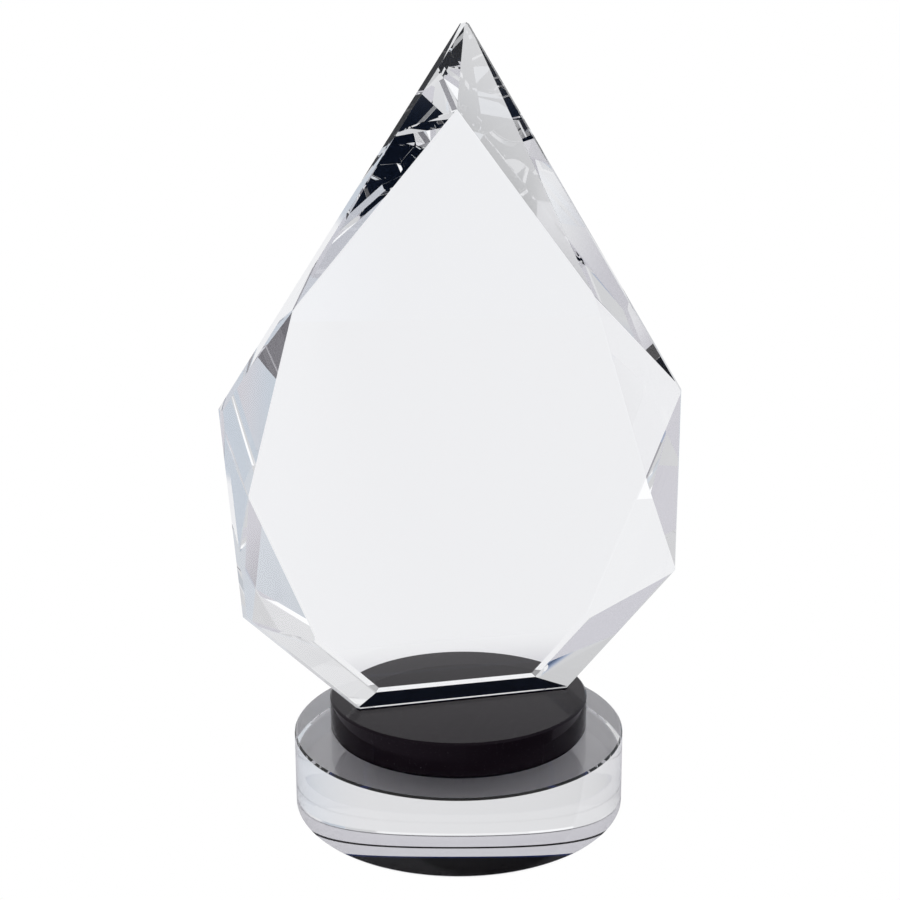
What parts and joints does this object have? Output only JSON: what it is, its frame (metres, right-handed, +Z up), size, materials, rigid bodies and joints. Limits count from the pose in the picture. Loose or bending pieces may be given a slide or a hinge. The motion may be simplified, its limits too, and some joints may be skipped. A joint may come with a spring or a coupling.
{
  "type": "crystal award",
  "caption": "Flame-shaped clear crystal plate, faceted at the back and flat at the front, bonded upright on a black crystal disc and a wider clear crystal base.",
  "frame": {"origin": "on the table under the award, at the middle of the round base", "axes": "+Z up through the plate's tip; +Y towards the award's back, so the plate's flat front face looks along -Y; +X to the right of someone facing the front"},
  "size_m": [0.1227, 0.09, 0.2024],
  "materials": {
    "clear_crystal": "optical crystal, ground and polished clear",
    "black_crystal": "black crystal, polished to a mirror",
    "clear_glue": "ultraviolet-cured clear adhesive"
  },
  "bodies": {
    "root": {"clear_base": "clear_crystal", "collar_glue": "clear_glue", "black_collar": "black_crystal", "plate_glue": "clear_glue", "flame_plate": "clear_crystal"}
  },
  "joints": []
}
